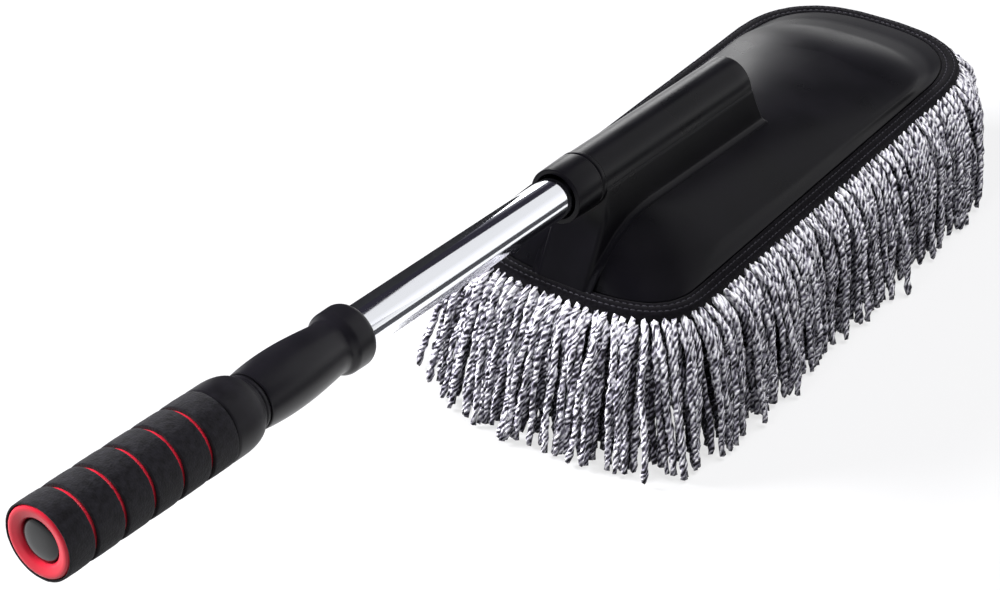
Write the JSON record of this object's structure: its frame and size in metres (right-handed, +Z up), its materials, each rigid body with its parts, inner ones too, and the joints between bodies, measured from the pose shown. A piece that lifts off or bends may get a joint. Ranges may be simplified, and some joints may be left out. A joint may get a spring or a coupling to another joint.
{
  "type": "telescopic car duster",
  "caption": "Car duster with a tasselled mop head on a moulded shell, and a telescopic steel handle with a twist lock and a banded foam grip.",
  "frame": {"origin": "on the surface that the mop stands on, below the middle of the overall length, with the handle closed", "axes": "+X forward to the tip of the mop, +Y to the left, +Z up; the handle runs back along -X and slightly up"},
  "size_m": [0.635, 0.1642, 0.1547],
  "materials": {
    "gloss_black": "glossy black moulded plastic",
    "satin_black": "satin black moulded plastic",
    "chrome": "bright chromed steel tube",
    "zinc": "zinc-coated steel",
    "foam_black": "matt black closed-cell grip foam",
    "red": "red moulded plastic, half gloss",
    "grey_plug": "dark grey glossy plastic",
    "nylon": "natural nylon",
    "binding_black": "black woven elastic binding",
    "pad_foam": "soft grey padding",
    "base_cloth": "dark base cloth",
    "yarn": "grey and white twisted microfibre yarn"
  },
  "bodies": {
    "head": {"head_shell": "gloss_black", "socket_collar": "gloss_black", "rim_binding": "binding_black", "cushion_pad": "pad_foam", "base_cloth": "base_cloth", "tassels_far": "yarn", "tassels_left": "yarn", "tassels_near": "yarn", "tassels_right": "yarn", "tassels_under": "yarn", "inner_tube": "chrome", "guide_plug": "nylon", "tube_screw_1": "zinc", "tube_screw_2": "zinc"},
    "collet": {"split_collet": "nylon"},
    "handle": {"outer_tube": "zinc", "thread_bush": "nylon", "grip_nose": "foam_black", "grip_core": "red", "foam_band_1": "foam_black", "foam_band_2": "foam_black", "foam_band_3": "foam_black", "foam_band_4": "foam_black", "foam_band_5": "foam_black", "foam_band_6": "foam_black", "end_ring": "red", "end_plug": "grey_plug"},
    "lock": {"lock_sleeve": "satin_black"}
  },
  "joints": [
    {"name": "telescope", "type": "slide", "parent": "head", "child": "collet", "axis": [-0.9977, 0, 0.0671], "range_m": [0, 0.095]},
    {"name": "handle_turn", "type": "hinge", "parent": "collet", "child": "handle", "pos_m": [-0.15845, 0, 0.12847], "axis": [-0.9977, 0, 0.0671], "continuous": true},
    {"name": "lock_twist", "type": "hinge", "parent": "handle", "child": "lock", "pos_m": [-0.17341, 0, 0.12948], "axis": [0.9977, 0, -0.0671], "range_deg": [0, 90]}
  ]
}
